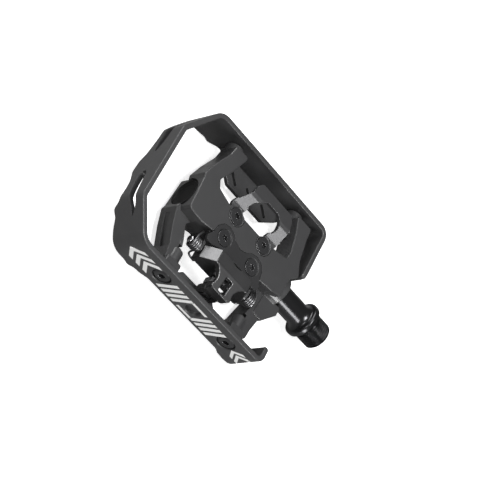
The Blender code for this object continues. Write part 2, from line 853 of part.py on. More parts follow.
def make_all():
    black = material("black_satin", (0.018, 0.018, 0.02), 0.42, 0.3)
    cage_black = material("cage_black", (0.03, 0.03, 0.032), 0.5, 0.2)
    spindle_black = material("spindle_black", (0.03, 0.03, 0.032), 0.22, 0.9)
    steel = material("steel", (0.5, 0.5, 0.52), 0.3, 1.0)
    bright = material("bright_steel", (0.75, 0.75, 0.77), 0.18, 1.0)
    dark_steel = material("dark_steel", (0.1, 0.1, 0.105), 0.38, 0.9)
    claw_steel = material("claw_steel", (0.24, 0.24, 0.25), 0.34, 0.95)
    bronze = material("bushing_polymer", (0.1, 0.09, 0.08), 0.55, 0.0)
    rubber = material("rubber", (0.02, 0.02, 0.02), 0.8, 0.0)
    plastic = material("cap_plastic", (0.03, 0.03, 0.03), 0.5, 0.0)

    fixed = empty("spindle_frame", (0, 0, 0))
    finish(make_spindle(), "spindle", spindle_black, parent=fixed)
    finish(make_lock_nut(), "lock_nut", steel, (-28.6, 0, 0), fixed)
    finish(ring_solid(SEAT_R + 0.12, 4.7, -26.7, -25.9), "lock_washer", steel, (-26.3, 0, 0), fixed)
    finish(make_race(SEAT_R + 0.1, 4.15, "inner"), "bearing_inner_race", bright, (-23.1, 0, 0), fixed)
    spin = empty("ball_axis", (0, 0, 0), fixed)
    finish(make_balls(), "bearing_balls", bright, (-23.1, 0, 0), spin)

    deck = empty("platform_axis", (0, 0, 0), fixed)
    finish(make_race(5.3, BEARING_R, "outer"), "bearing_outer_race", bright, (-23.1, 0, 0), deck)
    bushing = ring_solid(SHAFT_R + 0.08, BUSHING_R, BUSHING_FROM, BUSHING_TO)
    finish(bushing, "inboard_bushing", bronze, (23.0, 0, 0), deck)
    seal = ring_solid(SHAFT_R + 0.1, BUSHING_R, BUSHING_TO + GAP, COLLAR_TO - 0.2)
    finish(seal, "dust_seal", rubber, (32.8, 0, 0), deck)
    finish(make_end_cap(), "end_cap", plastic, (-32.3, 0, 0), deck)
    finish(make_body(), "body", black, parent=deck)
    finish(make_cage(), "cage", cage_black, parent=deck)

    bolt = make_cage_bolt()
    first = None
    for name, x, side in (
        ("cage_bolt_toe_outer", -BOLT_X, 1),
        ("cage_bolt_toe_crank", BOLT_X, 1),
        ("cage_bolt_heel_outer", -BOLT_X, -1),
        ("cage_bolt_heel_crank", BOLT_X, -1),
    ):
        if first is None:
            first = finish(bolt, name, dark_steel, (0, 38.0, 0), deck)
            piece = first
        else:
            piece = bpy.data.objects.new(name, first.data)
            bpy.context.scene.collection.objects.link(piece)
            piece.parent = deck
        piece.location = Vector((x, side * 38.0, side * BOLT_Z)) * MM
        piece.rotation_euler = (0, 0, 0 if side > 0 else math.pi)

    finish(make_toe_claw(), "toe_claw", dark_steel, (0, 10, 8), deck)
    finish(make_heel_plate(), "heel_plate", dark_steel, (0, -8, 8), deck)

    screw = make_plate_screw()
    first = None
    for kind, (x, y) in (("toe", TOE_SCREW), ("heel", HEEL_SCREW)):
        for side, end in ((-1, "outer"), (1, "crank")):
            if first is None:
                piece = first = finish(screw, f"{kind}_screw_{end}", steel, (0, 0, 6.5), deck)
            else:
                piece = bpy.data.objects.new(f"{kind}_screw_{end}", first.data)
                bpy.context.scene.collection.objects.link(piece)
                piece.parent = deck
            piece.location = Vector((side * x, y, 6.5)) * MM

    for side, end in ((-1, "outer"), (1, "crank")):
        pin = make_pivot_pin() if side > 0 else mirrored_once(make_pivot_pin())
        finish(pin, f"pivot_pin_{end}", bright, (side * 17.2, PIN_Y, PIN_Z), deck)
        coil = make_torsion_spring(side)
        finish(coil, f"torsion_spring_{end}", bright, (side * 19.1, PIN_Y, PIN_Z), deck)

    hinge = empty("heel_claw_axis", (0, PIN_Y, PIN_Z), deck)
    finish(make_heel_claw(), "heel_claw", claw_steel, (0, PIN_Y, PIN_Z), hinge)
    finish(make_tension_screw(), "tension_screw", dark_steel, (0, -26.0, TENSION_Z), hinge)
    finish(make_tension_nut(), "tension_nut", bright, (0, -24.0, TENSION_Z), hinge)
    fixed.location.z -= HALF_THICK * MM


def mirrored_once(base):
    made = mirrored(base)
    bpy.data.objects.remove(base)
    return made


clear_scene()
make_all()
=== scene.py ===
"""Looks of the clipless pedal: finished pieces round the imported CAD, materials, studio and camera.

X runs along the spindle towards the crank, Y towards the toe and Z up. Lengths are millimetres from the
spindle's axis, and build() turns them into the row's metres. Numbers inside outlines and profiles are points
of the shape that they draw.
"""

import math

import bmesh
import bpy
from mathutils import Matrix, Vector


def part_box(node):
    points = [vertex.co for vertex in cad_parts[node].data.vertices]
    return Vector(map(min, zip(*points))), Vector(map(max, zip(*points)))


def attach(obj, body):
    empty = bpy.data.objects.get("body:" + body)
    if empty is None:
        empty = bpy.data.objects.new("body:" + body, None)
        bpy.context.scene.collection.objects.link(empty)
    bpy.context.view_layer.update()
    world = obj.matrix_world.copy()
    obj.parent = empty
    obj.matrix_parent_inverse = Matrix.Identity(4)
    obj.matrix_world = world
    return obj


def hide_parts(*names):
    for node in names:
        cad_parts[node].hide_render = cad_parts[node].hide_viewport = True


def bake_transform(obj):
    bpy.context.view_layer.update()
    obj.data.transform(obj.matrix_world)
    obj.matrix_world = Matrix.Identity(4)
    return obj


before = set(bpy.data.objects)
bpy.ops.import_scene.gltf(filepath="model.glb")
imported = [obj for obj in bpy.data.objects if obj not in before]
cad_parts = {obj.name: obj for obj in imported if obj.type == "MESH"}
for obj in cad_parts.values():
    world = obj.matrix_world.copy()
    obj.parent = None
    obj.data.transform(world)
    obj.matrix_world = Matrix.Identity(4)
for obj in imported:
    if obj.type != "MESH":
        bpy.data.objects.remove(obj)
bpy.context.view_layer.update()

MM = 0.001
spindle_low, spindle_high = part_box("spindle")
AXIS = (spindle_low.z + spindle_high.z) / 2  # height of the spindle's axis, in metres
BODY_TOP = (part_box("body")[1].z - AXIS) / MM
RAIL_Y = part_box("cage")[1].y / MM  # outer face of the toe rail; the heel rail mirrors it
CAGE_TOP = (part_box("cage")[1].z - AXIS) / MM
CAGE_THICK = 2.5
PIN_Y, PIN_Z = -17.2, 3.9  # the heel claw's hinge
TENSION_Z = 1.8  # height of the tension screw
BOLT_X = 22.7  # the cage's bolts, either side of the middle
HALF_OVERLAP = 2.0  # how far each half of the body reaches past the spindle's axis
SKIN = 7.0  # underside of the steel plates on the body

# ---------------------------------------------------------------- mesh helpers

AXES = {
    "X": lambda a, b, h: (h, a, b),
    "Y": lambda a, b, h: (a, h, b),
    "Z": lambda a, b, h: (a, b, h),
}


def build(name, work):
    """A bmesh in millimetres becomes an object in metres, in the row frame."""
    bmesh.ops.recalc_face_normals(work, faces=work.faces)
    bmesh.ops.scale(work, vec=(MM, MM, MM), verts=work.verts)
    bmesh.ops.translate(work, vec=(0, 0, AXIS), verts=work.verts)
    mesh = bpy.data.meshes.new(name)
    work.to_mesh(mesh)
    work.free()
    made = bpy.data.objects.new(name, mesh)
    bpy.context.scene.collection.objects.link(made)
    return made


def loft(sections, closed=False):
    """A solid through rings of the same number of points; closed joins the last ring to the first."""
    work = bmesh.new()
    rings = [[work.verts.new(spot) for spot in ring] for ring in sections]
    count = len(rings[0])
    pairs = list(zip(rings, rings[1:]))
    if closed:
        pairs.append((rings[-1], rings[0]))
    for here, there in pairs:
        for k in range(count):
            after = (k + 1) % count
            work.faces.new([here[k], here[after], there[after], there[k]])
    if not closed:
        work.faces.new(rings[0])
        work.faces.new(rings[-1])
    return build("helper", work)


def fillet(outline, radius, steps=4):
    """Rounds each corner of a closed outline; radius is one number or one for each corner."""
    count = len(outline)
    radii = radius if isinstance(radius, (list, tuple)) else [radius] * count
    rounded = []
    for k, corner in enumerate(outline):
        spot = Vector(corner)
        before, after = Vector(outline[k - 1]), Vector(outline[(k + 1) % count])
        one, two = before - spot, after - spot
        room = 0.42 * min(one.length, two.length)
        one.normalize()
        two.normalize()
        bend = math.pi - one.angle(two)
        if radii[k] < 1e-6 or bend < math.radians(4):
            rounded.append(tuple(spot))
            continue
        reach = min(radii[k] * math.tan(bend / 2), room)
        arc_radius = reach / math.tan(bend / 2)
        start, end = spot + one * reach, spot + two * reach
        centre = spot + (one + two).normalized() * (arc_radius / math.cos(bend / 2))
        first, last = start - centre, end - centre
        swing = first.angle_signed(last)
        for step in range(steps + 1):
            turn = Matrix.Rotation(-swing * step / steps, 2)
            rounded.append(tuple(centre + turn @ first))
    return rounded


def prism(outline, low, high, axis="Z", edge=0.0, edge_low=None, segments=3):
    """A straight solid of an outline, with its rims rounded by edge (high end) and edge_low."""
    place = AXES[axis]
    work = bmesh.new()
    ring = [work.verts.new(place(a, b, low)) for a, b in outline]
    base = work.faces.new(ring)
    moved = bmesh.ops.extrude_face_region(work, geom=[base])["geom"]
    top = {v for v in moved if isinstance(v, bmesh.types.BMVert)}
    shift = Vector(place(0, 0, high)) - Vector(place(0, 0, low))
    bmesh.ops.translate(work, vec=shift, verts=list(top))
    bmesh.ops.recalc_face_normals(work, faces=work.faces)
    for size, chosen in ((edge, top), (edge if edge_low is None else edge_low, set(ring))):
        chosen = {v for v in chosen if v.is_valid}
        if size:
            rim = [e for e in work.edges if e.verts[0] in chosen and e.verts[1] in chosen]
            bmesh.ops.bevel(work, geom=rim, offset=size, segments=segments, affect="EDGES", profile=0.6)
    return build("helper", work)


def soften(profile, size, steps=2):
    """Rounds the corners of an open (radius, along) profile."""
    points = [Vector(p) for p in profile]
    result = [points[0]]
    for before, spot, after in zip(points, points[1:], points[2:]):
        one, two = before - spot, after - spot
        reach = min(size, 0.42 * one.length, 0.42 * two.length)
        if reach < 1e-4 or one.angle(two) > math.radians(172):
            result.append(spot)
            continue
        start, end = spot + one.normalized() * reach, spot + two.normalized() * reach
        for step in range(steps + 1):
            t = step / steps
            result.append(start * (1 - t) ** 2 + spot * 2 * t * (1 - t) + end * t * t)
    result.append(points[-1])
    return result


def lathe(profile, axis="X", centre=(0, 0, 0), segments=72, round_by=0.0, phase=0.05):
    """A solid of revolution from (radius, along) pairs."""
    place = AXES[axis]
    if round_by:
        profile = soften(profile, round_by)
    rings = []
    for radius, along in profile:
        if radius <= 1e-6:
            continue
        ring = []
        for step in range(segments):
            turn = phase + 2 * math.pi * step / segments
            spot = place(radius * math.cos(turn), radius * math.sin(turn), along)
            ring.append(Vector(spot) + Vector(centre))
        rings.append(ring)
    return loft(rings)


def rod(radius, low, high, axis="X", centre=(0, 0, 0), segments=48, edge=0.0):
    """A round bar along an axis, its ends rounded by edge."""
    profile = [(0, low), (radius, low), (radius, high), (0, high)]
    return lathe(profile, axis, centre, segments, edge)


def ring_solid(profile, axis="X", centre=(0, 0, 0), segments=72):
    """A closed (radius, along) section turned about the axis."""
    place = AXES[axis]
    rings = []
    for step in range(segments):
        turn = 2 * math.pi * step / segments
        spots = [place(r * math.cos(turn), r * math.sin(turn), h) for r, h in profile]
        rings.append([Vector(spot) + Vector(centre) for spot in spots])
    return loft(rings, closed=True)


def through(spots, steps):
    """Catmull-Rom points from the second spot up to, but without, the last but one."""
    result = []
    for a, b, c, d in zip(spots, spots[1:], spots[2:], spots[3:]):
        for step in range(steps):
            t = step / steps
            square = (2 * a - 5 * b + 4 * c - d) * t * t
            cube = (3 * b - a - 3 * c + d) * t**3
            result.append(0.5 * (2 * b + (c - a) * t + square + cube))
    return result


def smooth_path(points, steps=6):
    """A smooth open curve through the points."""
    spots = [Vector(p) for p in points]
    spots = [spots[0] * 2 - spots[1]] + spots + [spots[-1] * 2 - spots[-2]]
    return through(spots, steps) + [spots[-2]]


def tube(path, radius, sides=12):
    """A round wire along a path, with slightly rounded ends."""
    spots = [Vector(p) for p in path]
    rings = []
    normal = None
    last = len(spots) - 1
    for k, spot in enumerate(spots):
        along = (spots[min(k + 1, last)] - spots[max(k - 1, 0)]).normalized()
        if normal is None:
            guide = Vector((0, 0, 1)) if abs(along.z) < 0.9 else Vector((1, 0, 0))
            normal = along.cross(guide)
        normal = (normal - along * normal.dot(along)).normalized()
        across = along.cross(normal)
        ends = [(0.0, 1.0)]
        if k == 0:
            ends = [(-0.3, 0.65), (-0.12, 0.93), (0.0, 1.0)]
        elif k == last:
            ends = [(0.0, 1.0), (0.12, 0.93), (0.3, 0.65)]
        for slip, share in ends:
            ring = []
            for s in range(sides):
                turn = 2 * math.pi * s / sides
                offset = normal * math.cos(turn) + across * math.sin(turn)
                ring.append(spot + along * slip * radius + offset * radius * share)
            rings.append(ring)
    return loft(rings)


def bake(base, helpers=()):
    """Applies an object's modifiers and removes the objects that they used."""
    bpy.context.view_layer.update()
    graph = bpy.context.evaluated_depsgraph_get()
    mesh = bpy.data.meshes.new_from_object(base.evaluated_get(graph))
    base.modifiers.clear()
    base.data = mesh
    for helper in helpers:
        bpy.data.objects.remove(helper)
    return base


def combine(base, operation, others):
    """Applies one exact boolean after the other."""
    for other in others:
        step = base.modifiers.new(operation, "BOOLEAN")
        step.operation = operation
        step.solver = "EXACT"
        step.object = other
    return bake(base, others)


def join(base, *others):
    return combine(base, "UNION", others)


def cut(base, *others):
    return combine(base, "DIFFERENCE", others)


def common(base, other):
    return combine(base, "INTERSECT", [other])


def turned(base):
    """A copy of a helper, turned half round the spindle's axis."""
    mesh = base.data.copy()
    lift = Matrix.Translation((0, 0, AXIS))
    mesh.transform(lift @ Matrix.Rotation(math.pi, 4, "X") @ lift.inverted())
    made = bpy.data.objects.new("helper", mesh)
    bpy.context.scene.collection.objects.link(made)
    return made


def bevelled(base, width, angle=35, segments=2):
    """Rounds every edge sharper than the angle."""
    step = base.modifiers.new("Bevel", "BEVEL")
    step.width = width * MM
    step.segments = segments
    step.limit_method = "ANGLE"
    step.angle_limit = math.radians(angle)
    step.use_clamp_overlap = True
    step.miter_outer = "MITER_ARC"
    return bake(base)


def cast(base, voxel, smooth=3, factor=0.5):
    """Fuses a solid into one skin whose edges and inner corners are rounded like a casting's."""
    step = base.modifiers.new("Remesh", "REMESH")
    step.mode = "VOXEL"
    step.voxel_size = voxel * MM
    step = base.modifiers.new("Smooth", "SMOOTH")
    step.iterations = smooth
    step.factor = factor
    return bake(base)


def finish(base, name, look, body, *nodes, slot=None, sharp=32, weighted=True):
    """Names a piece, shades it, gives it its material and hides the CAD nodes that it stands for."""
    base.name = name
    base.data.name = name
    base.data.materials.clear()
    base.data.materials.append(look)
    base.data.shade_smooth()
    if sharp:
        base.data.set_sharp_from_angle(angle=math.radians(sharp))
    if weighted:
        step = base.modifiers.new("Normals", "WEIGHTED_NORMAL")
        step.keep_sharp = True
        step.weight = 80
    if nodes:
        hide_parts(*nodes)
    if body:
        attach(base, body)
    return base


def polygon(radius, sides, phase=0.0):
    turns = [phase + 2 * math.pi * k / sides for k in range(sides)]
    return [(radius * math.cos(t), radius * math.sin(t)) for t in turns]


def six_lobe(outer, inner, phase=0.0, steps=48):
    """The outline of a six-lobed driver socket."""
    middle, swing = (outer + inner) / 2, (outer - inner) / 2
    shape = []
    for k in range(steps):
        turn = 2 * math.pi * k / steps
        radius = middle + swing * math.cos(6 * turn)
        shape.append((radius * math.cos(turn + phase), radius * math.sin(turn + phase)))
    return shape


# ---------------------------------------------------------------- materials


def metal(name, colour, rough, metallic=0.0, grain=0.25, grain_size=0.16, mottle=0.1, edge=0.0,
          edge_highlight_colour=(0.5, 0.5, 0.5), round_edges=0.12, coat=0.0, brushed=None, specular=0.5):
    """A finish with fine grain in its bump and roughness, slow mottling, and a painted highlight that
    lightens its rounded edges.
    """
    made = bpy.data.materials.new(name)
    made.use_nodes = True
    nodes, links = made.node_tree.nodes, made.node_tree.links
    shader = nodes["Principled BSDF"]
    where = nodes.new("ShaderNodeTexCoord").outputs["Object"]
    if brushed:
        stretch = nodes.new("ShaderNodeMapping")
        stretch.inputs["Scale"].default_value = brushed
        links.new(where, stretch.inputs["Vector"])
        fine_from = stretch.outputs["Vector"]
    else:
        fine_from = where
    fine = nodes.new("ShaderNodeTexNoise")
    fine.inputs["Scale"].default_value = 1 / (grain_size * MM)
    fine.inputs["Detail"].default_value = 3.0
    links.new(fine_from, fine.inputs["Vector"])
    slow = nodes.new("ShaderNodeTexNoise")
    slow.inputs["Scale"].default_value = 1 / (7 * MM)
    slow.inputs["Detail"].default_value = 4.0
    links.new(where, slow.inputs["Vector"])

    tint = nodes.new("ShaderNodeMix")
    tint.data_type = "RGBA"
    tint.inputs["A"].default_value = (*[c * (1 - mottle) for c in colour], 1)
    tint.inputs["B"].default_value = (*[c * (1 + mottle) for c in colour], 1)
    links.new(slow.outputs["Fac"], tint.inputs["Factor"])
    shade = tint.outputs["Result"]

    span = nodes.new("ShaderNodeMapRange")
    span.inputs["To Min"].default_value = rough * (1 - 0.6 * grain) - 0.03
    span.inputs["To Max"].default_value = rough * (1 + 0.6 * grain) + 0.03
    links.new(fine.outputs["Fac"], span.inputs["Value"])
    links.new(span.outputs["Result"], shader.inputs["Roughness"])

    rounded = nodes.new("ShaderNodeBevel")
    rounded.samples = 4
    rounded.inputs["Radius"].default_value = round_edges * MM
    bump = nodes.new("ShaderNodeBump")
    bump.inputs["Strength"].default_value = grain
    bump.inputs["Distance"].default_value = 0.03 * MM
    links.new(fine.outputs["Fac"], bump.inputs["Height"])
    links.new(rounded.outputs["Normal"], bump.inputs["Normal"])
    links.new(bump.outputs["Normal"], shader.inputs["Normal"])

    # painted highlight: where the rounded-edge normal turns away from the face's own normal, the colour is
    # mixed towards a lighter edge colour, standing in for light caught by the edges
    if edge:
        plain = nodes.new("ShaderNodeNewGeometry")
        facing = nodes.new("ShaderNodeVectorMath")
        facing.operation = "DOT_PRODUCT"
        links.new(rounded.outputs["Normal"], facing.inputs[0])
        links.new(plain.outputs["Normal"], facing.inputs[1])
        edge_highlight_mask = nodes.new("ShaderNodeMapRange")
        edge_highlight_mask.inputs["From Min"].default_value = 0.985
        edge_highlight_mask.inputs["From Max"].default_value = 0.80
        edge_highlight_mask.inputs["To Min"].default_value = 0.0
        edge_highlight_mask.inputs["To Max"].default_value = edge
        links.new(facing.outputs["Value"], edge_highlight_mask.inputs["Value"])
        mix = nodes.new("ShaderNodeMix")
        mix.data_type = "RGBA"
        links.new(edge_highlight_mask.outputs["Result"], mix.inputs["Factor"])
        links.new(shade, mix.inputs["A"])
        mix.inputs["B"].default_value = (*edge_highlight_colour, 1)
        shade = mix.outputs["Result"]
    links.new(shade, shader.inputs["Base Color"])
    shader.inputs["Metallic"].default_value = metallic
    shader.inputs["Specular IOR Level"].default_value = specular
    shader.inputs["Coat Weight"].default_value = coat
    shader.inputs["Coat Roughness"].default_value = 0.22
    made.diffuse_color = (*colour, 1)
    return made


# each edge value and its colour below set the painted highlight along that material's rounded edges
body_black = metal("body_black", (0.034, 0.034, 0.035), 0.46, 0.0, grain=0.35, grain_size=0.18, mottle=0.12,
                   edge=0.35, edge_highlight_colour=(0.16, 0.16, 0.165), round_edges=0.2, coat=0.8)
cage_black = metal("cage_black", (0.036, 0.036, 0.037), 0.5, 0.0, grain=0.42, grain_size=0.2, mottle=0.16,
                   edge=0.25, edge_highlight_colour=(0.12, 0.12, 0.125), round_edges=0.2, coat=0.3)
plate_black = metal("plate_black", (0.03, 0.03, 0.031), 0.42, 0.25, grain=0.25, grain_size=0.14, mottle=0.1,
                    edge=0.4, edge_highlight_colour=(0.25, 0.25, 0.26), round_edges=0.15)
screw_black = metal("screw_black", (0.05, 0.05, 0.052), 0.34, 0.6, grain=0.16, grain_size=0.12, mottle=0.1,
                    edge=0.6, edge_highlight_colour=(0.55, 0.55, 0.56), round_edges=0.14)
claw_steel = metal("claw_steel", (0.12, 0.12, 0.122), 0.36, 0.88, grain=0.3, grain_size=0.14, mottle=0.2,
                   edge=0.6, edge_highlight_colour=(0.6, 0.6, 0.61), round_edges=0.2)
toe_steel = metal("toe_steel", (0.075, 0.075, 0.077), 0.38, 0.6, grain=0.28, grain_size=0.14, mottle=0.15,
                  edge=0.5, edge_highlight_colour=(0.5, 0.5, 0.51), round_edges=0.18)
bright_steel = metal("bright_steel", (0.62, 0.62, 0.63), 0.22, 1.0, grain=0.12, grain_size=0.1, mottle=0.06,
                     brushed=(0.15, 1.0, 1.0))
spring_steel = metal("spring_steel", (0.2, 0.2, 0.205), 0.34, 0.9, grain=0.12, grain_size=0.1, mottle=0.06)
plain_steel = metal("plain_steel", (0.42, 0.42, 0.43), 0.3, 1.0, grain=0.2, grain_size=0.12, mottle=0.08)
spindle_black = metal("spindle_black", (0.045, 0.045, 0.047), 0.24, 0.85, grain=0.06, grain_size=0.1,
                      mottle=0.08, edge=0.3, edge_highlight_colour=(0.3, 0.3, 0.31), coat=0.15, brushed=(6.0, 0.4, 0.4))
polymer = metal("bushing_polymer", (0.09, 0.08, 0.07), 0.55, 0.0, grain=0.3, grain_size=0.2)
rubber = metal("seal_rubber", (0.014, 0.014, 0.014), 0.7, 0.0, grain=0.4, grain_size=0.15)
cap_black = metal("cap_black", (0.005, 0.005, 0.005), 0.5, 0.0, grain=0.25, grain_size=0.16, mottle=0.1,
                  edge=0.25, edge_highlight_colour=(0.1, 0.1, 0.1), specular=0.2)
mark_white = metal("mark_white", (0.82, 0.82, 0.81), 0.5, 0.0, grain=0.2, grain_size=0.2, mottle=0.03,
                   round_edges=0.02)

# ---------------------------------------------------------------- spindle


SHAFT_RADIUS = 5.9
THREAD_START, THREAD_END = 56.45, 67.0


def shaft_and_flange():
    profile = [(0, -30.4), (2.4, -30.4), (2.95, -29.8), (2.95, -20.5), (4.2, -20.5), (4.7, 12.0),
               (SHAFT_RADIUS, 16.0), (SHAFT_RADIUS, 49.0)]
    flare, reach, steps = 2.1, 3.4, 8
    for k in range(steps + 1):
        turn = math.radians(90) * k / steps
        profile.append((SHAFT_RADIUS + flare * (1 - math.cos(turn)), 49.3 + reach * math.sin(turn)))
    profile += [(8.5, 52.9), (8.92, 53.3), (9.0, 53.7), (9.0, 55.0), (8.9, 55.4), (8.5, 55.7), (7.3, 55.7),
                (6.9, 55.3), (6.35, 55.3), (6.35, 56.5), (0, 56.5)]
    return lathe(profile, segments=96)


def thread(columns=96, rows=100):
    """A real helix with flattened roots and crests, run in at its start and chamfered at its end."""
    major, minor, pitch = 7.12, 6.25, 1.27
    root_flat, slope_share, run_in = 0.1, 0.78, 1.2
    chamfer, root_chamfer, root_slope = 0.9, 0.6, 0.6
    rings = []
    for row in range(rows + 1):
        along = THREAD_START + (THREAD_END - THREAD_START) * row / rows
        fade = min(1.0, (along - THREAD_START) / run_in)
        most = major - max(0.0, along - (THREAD_END - chamfer))
        least = minor - max(0.0, along - (THREAD_END - root_chamfer)) * root_slope
        ring = []
        for column in range(columns):
            turn = 2 * math.pi * column / columns
            step = (along / pitch + turn / (2 * math.pi)) % 1.0
            ridge = 1 - abs(2 * step - 1)
            crest = min(1.0, max(0.0, (ridge - root_flat) / slope_share))
            radius = min(most, max(least, minor + (major - minor) * crest * fade))
            ring.append((along, radius * math.cos(turn), radius * math.sin(turn)))
        rings.append(ring)
    return loft(rings)


def make_spindle():
    plain = shaft_and_flange()
    helix = thread()
    socket = prism(polygon(4.62, 6), 58.5, 68.5, axis="X")
    mouth = lathe([(0, 66.7), (4.9, 66.7), (5.6, 67.4), (0, 67.4)])
    solid = join(plain, cut(helix, join(socket, mouth)))
    finish(solid, "spindle_turned", spindle_black, "spindle_unit", "spindle", slot="spindle_black", sharp=38)


# ---------------------------------------------------------------- body

# Plan of the body's upper half with its two toe-side arms, anticlockwise from the outboard heel corner. The
# lower half is the same shape turned over, and its arms are the heel-side ones.
PLATE = [
    (-33.2, -8.4), (-32.4, -9.6), (-24.8, -10.2), (-17.2, -9.0), (15.7, -9.0), (25.4, -8.0), (31.3, -6.3),
    (31.3, 3.7), (35.2, 8.2), (31.8, 14.7), (29.6, 26.1), (29.2, 32.0), (18.9, 32.0), (22.4, 24.0),
    (24.8, 14.3), (24.2, 10.4), (15.6, 8.8), (13.0, 7.7), (-13.2, 7.7), (-16.4, 7.3), (-24.2, 9.2),
    (-26.4, 12.6), (-23.2, 19.0), (-18.8, 32.0), (-27.4, 32.0), (-28.4, 26.1), (-32.4, 16.9), (-34.9, 9.2),
    (-34.2, 6.8),
]
TOE_SCREW, HEEL_SCREW = (9.85, 5.6), (9.85, -7.2)  # crank-side plate screws; the others mirror them


def toe_ear(side, radius, step=15):
    """The outline round a toe screw, joined to the toe claw's root."""
    x, y = TOE_SCREW
    arc = []
    for turn in range(-180, 1, step):
        arc.append((x + radius * math.cos(math.radians(turn)), y + radius * math.sin(math.radians(turn))))
    shape = arc + [(15.6, 9.4), (15.6, 11.4), (8.0, 11.4), (8.0, 9.4), (x - radius, y + 1.6)]
    return [(side * a, b) for a, b in (shape if side > 0 else reversed(shape))]


HEEL_HALF = [(0, -5.6), (3.6, -4.2), (6.2, -2.1), (9.85, -1.0), (13.4, -2.0), (15.7, -4.8), (16.6, -9.0),
             (18.4, -12.2), (17.6, -14.4), (14.4, -14.6), (8.6, -12.4)]


def heel_outline(grow=0.0):
    """The heel plate's outline, grown outwards from its middle."""
    shape = [(-x, y) for x, y in reversed(HEEL_HALF[1:])] + HEEL_HALF
    middle = Vector((0, -8.0))
    wide = []
    for x, y in shape:
        away = Vector((x, y)) - middle
        wide.append(tuple(middle + away * (1 + grow / max(away.length, 1.0))))
    return fillet(wide, 2.0, 5)


def lug(side):
    """An ear of the body that holds one hinge pin of the heel claw."""
    radius, root = 2.6, -6.0
    arc = []
    for turn in range(90, 271, 15):
        angle = math.radians(turn)
        arc.append((PIN_Y + radius * math.cos(angle), PIN_Z + radius * math.sin(angle)))
    outline = arc + [(root, PIN_Z - 4.4), (root, PIN_Z + radius)]
    low, high = sorted((side * 15.75, side * 16.95))
    return prism(outline, low, high, axis="X", edge=0.15)


def body_bosses():
    """Round bosses for the four cage bolts, with square end blocks over the heel-side ones."""
    inner, outer = 24.4, RAIL_Y - CAGE_THICK - 0.3
    made = []
    for x in (-BOLT_X, BOLT_X):
        for side, radius in ((-1, 3.3), (1, 4.4)):
            ends = [(0, side * inner), (radius, side * inner), (radius, side * outer), (0, side * outer)]
            if side < 0:
                ends.reverse()
            made.append(lathe(ends, "Y", (x, 0, 0), 48, 0.35))
    for x in (-BOLT_X, BOLT_X):
        block = [(x - 4.5, -outer), (x + 4.1, -outer), (x + 4.1, -30.0), (x - 4.5, -30.0)]
        made.append(prism(fillet(block, 0.8, 3), -4.9, 3.4, edge=0.7, edge_low=0.4))
    return made


def spindle_bores():
    """From outboard to crank: the plug's seat, the bearing's room, the spindle's bore, the bushing's bore."""
    return [
        lathe([(0, -36), (7.8, -36), (7.5, -33.6), (7.5, -31.3), (0, -31.3)], segments=72),
        rod(6.5, -36, -20.3, segments=64),
        rod(5.3, -22, 16, segments=64),
        lathe([(0, 13.2), (6.98, 13.2), (6.98, 34.1), (7.4, 34.5), (7.4, 40), (0, 40)], segments=64),
    ]


def body_cuts():
    """Bolt holes, spring rooms, pin holes, seats of the two plates, the side groove and the screw holes."""
    hinge, seat, above = (0, PIN_Y, PIN_Z), SKIN - 0.3, BODY_TOP + 1
    cuts = spindle_bores()
    for x in (-BOLT_X, BOLT_X):
        for side in (-1, 1):
            ends = sorted((side * 22.0, side * 40.0))
            cuts.append(rod(2.5, *ends, axis="Y", centre=(x, 0, 0), segments=32))
    for side in (-1, 1):
        cuts.append(rod(4.05, *sorted((side * 17.2, side * 21.9)), centre=hinge, segments=48))
        cuts.append(rod(1.25, *sorted((side * 14, side * 19)), centre=hinge, segments=24))
        cuts.append(prism(toe_ear(side, 5.0), seat, above))
    cuts.append(prism(heel_outline(0.25), seat, above))
    groove = [(-34.6, -11.5), (-33.9, -11.5), (-31.4, -17.6), (-27.6, -25.4), (-28.8, -26.4), (-33.9, -17.6)]
    cuts.append(prism(groove, -5.0, -1.8))
    for x, y in (TOE_SCREW, HEEL_SCREW):
        for side in (-1, 1):
            cuts.append(rod(1.75, 4.3, 9.0, axis="Z", centre=(side * x, y, 0), segments=24))
    return cuts


def make_body():
    top = prism(fillet(PLATE, 1.3, 3), -HALF_OVERLAP, BODY_TOP, edge=0.75, edge_low=0.4)
    solid = join(top, turned(top))
    bosses = body_bosses()
    collar = lathe([(0, 18.0), (8.4, 18.0), (8.4, 33.9), (7.9, 34.4), (0, 34.4)], segments=72)
    root = fillet([(27.0, -4.5), (38.4, -6.6), (38.2, -11.0), (32.0, -19.0), (26.0, -19.0)], 1.2, 3)
    root = prism(root, -7.4, HALF_OVERLAP + 0.6, edge=0.6)
    solid = join(solid, *bosses, collar, root, lug(-1), lug(1))
    finish(cut(solid, *body_cuts()), "body_forging", body_black, "platform", "body", slot="body_black")


def make_end_cap():
    """A dark plug, dished and sunk into the body's outboard end."""
    profile = [(0, -32.5), (2.4, -32.55), (4.9, -32.8), (6.1, -33.3), (6.7, -33.75), (7.2, -33.75),
               (7.4, -33.4), (7.4, -31.6), (6.3, -31.6), (6.3, -30.8), (5.2, -30.8), (5.2, -31.9), (0, -31.9)]
    plug = lathe(profile, round_by=0.15)
    finish(plug, "end_cap_plug", cap_black, "platform", "end_cap", slot="cap_plastic")


def make_seal():
    section = [(6.0, 31.3), (6.9, 31.3), (6.9, 34.2), (6.55, 34.2), (6.45, 33.7), (6.2, 33.6), (6.0, 33.9)]
    finish(ring_solid(section), "dust_seal_lip", rubber, "platform", "dust_seal", slot="rubber")


# ---------------------------------------------------------------- cage

# corners of the bar's outer face as (x, y, bend radius), from the heel rail's crank end round to the toe rail
CAGE_PATH = [(38.9, -30.4, 0), (38.9, -39.15, 4.2), (-44.0, -39.15, 9.0), (-56.0, -22.4, 5.0),
             (-56.0, 17.4, 5.0), (-42.4, 39.15, 8.0), (38.9, 39.15, 5.5), (38.9, 10.0, 0)]
